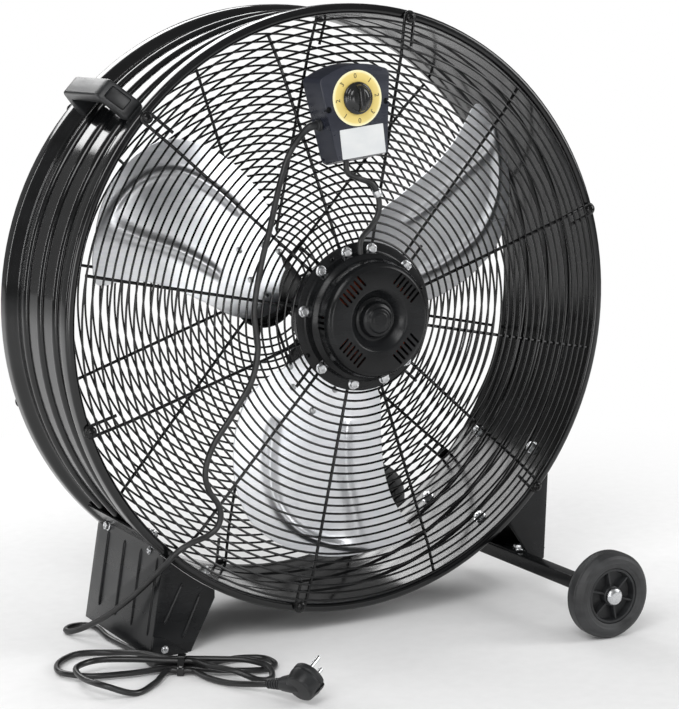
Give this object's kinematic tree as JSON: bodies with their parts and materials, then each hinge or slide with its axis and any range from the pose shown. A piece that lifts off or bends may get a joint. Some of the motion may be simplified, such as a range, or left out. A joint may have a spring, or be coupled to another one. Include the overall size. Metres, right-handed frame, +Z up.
{
  "type": "drum fan",
  "caption": "Portable drum fan: rolled sheet drum between wire grilles, pressed blades on a central motor, dial switch box, carry handle, sheet foot, wheels and mains cord.",
  "frame": {"origin": "on the floor, under the middle of the drum", "axes": "+X from the foot to the wheels, +Y along the drum axis from the inlet and motor side to the outlet side, +Z up"},
  "size_m": [0.709, 0.6185, 0.7111],
  "materials": {
    "black_gloss_paint": "glossy black paint on rolled steel sheet",
    "black_satin_paint": "satin black paint on steel",
    "black_wire_coat": "glossy black coating on steel wire",
    "grey_black_plastic": "fine-grained grey-black moulding",
    "blue_grey_plastic": "smooth dark blue-grey moulding",
    "dial_film": "printed yellow film",
    "white_film": "blank white self-adhesive film",
    "black_gloss_plastic": "glossy black moulding",
    "zinc": "bright zinc-plated steel",
    "bare_aluminium": "satin rolled aluminium sheet",
    "winding": "varnished copper winding on a laminated core",
    "tyre_rubber": "moulded dark rubber-like tyre",
    "cord_sheath": "smooth black rubber sheath",
    "bright_pin": "nickel-plated brass pin"
  },
  "bodies": {
    "fan_body": {"axle_bolt_far": "zinc", "axle_bolt_near": "zinc", "axle_tube": "black_satin_paint", "box_base": "blue_grey_plastic", "box_cover": "blue_grey_plastic", "cord": "cord_sheath", "cord_gland": "grey_black_plastic", "cord_tie": "black_gloss_plastic", "dial_ring": "dial_film", "drum_shell": "black_gloss_paint", "foot": "black_satin_paint", "front_bearing": "zinc", "handle": "grey_black_plastic", "hank": "cord_sheath", "inlet_grille_rings": "black_wire_coat", "inlet_grille_spokes": "black_wire_coat", "inlet_rim_screw_1": "black_wire_coat", "inlet_rim_screw_2": "black_wire_coat", "inlet_rim_screw_3": "black_wire_coat", "inlet_rim_screw_4": "black_wire_coat", "inlet_rim_screw_5": "black_wire_coat", "inlet_rim_screw_6": "black_wire_coat", "lead_clip": "zinc", "motor_bell": "black_satin_paint", "motor_can": "black_satin_paint", "motor_lead": "cord_sheath", "motor_plate": "black_satin_paint", "outlet_centre_disc": "black_satin_paint", "outlet_grille_rings": "black_wire_coat", "outlet_grille_spokes": "black_wire_coat", "outlet_rim_screw_1": "black_wire_coat", "outlet_rim_screw_2": "black_wire_coat", "outlet_rim_screw_3": "black_wire_coat", "outlet_rim_screw_4": "black_wire_coat", "outlet_rim_screw_5": "black_wire_coat", "outlet_rim_screw_6": "black_wire_coat", "plug_body": "cord_sheath", "plug_pin_1": "bright_pin", "plug_pin_2": "bright_pin", "rating_plate": "white_film", "rear_bearing": "zinc", "rotary_switch": "grey_black_plastic", "stator": "winding", "wheel_bracket": "black_satin_paint"},
    "rotor": {"rotor_shaft": "zinc", "blade_spider": "black_satin_paint", "blade_1": "bare_aluminium", "blade_2": "bare_aluminium", "blade_3": "bare_aluminium"},
    "wheel_near": {"tyre_near": "tyre_rubber", "wheel_hub_near": "grey_black_plastic"},
    "wheel_far": {"tyre_far": "tyre_rubber", "wheel_hub_far": "grey_black_plastic"},
    "knob": {"selector_knob": "black_gloss_plastic"}
  },
  "joints": [
    {"name": "rotor_spin", "type": "hinge", "parent": "fan_body", "child": "rotor", "pos_m": [0, 0, 0.366], "axis": [0, 1, 0], "continuous": true},
    {"name": "wheel_near_spin", "type": "hinge", "parent": "fan_body", "child": "wheel_near", "pos_m": [0.236, -0.27, 0.05], "axis": [0, 1, 0], "continuous": true},
    {"name": "wheel_far_spin", "type": "hinge", "parent": "fan_body", "child": "wheel_far", "pos_m": [0.236, 0.27, 0.05], "axis": [0, 1, 0], "continuous": true},
    {"name": "knob_turn", "type": "hinge", "parent": "fan_body", "child": "knob", "pos_m": [-0.02994, -0.165, 0.60987], "axis": [0, 1, 0], "continuous": true}
  ]
}
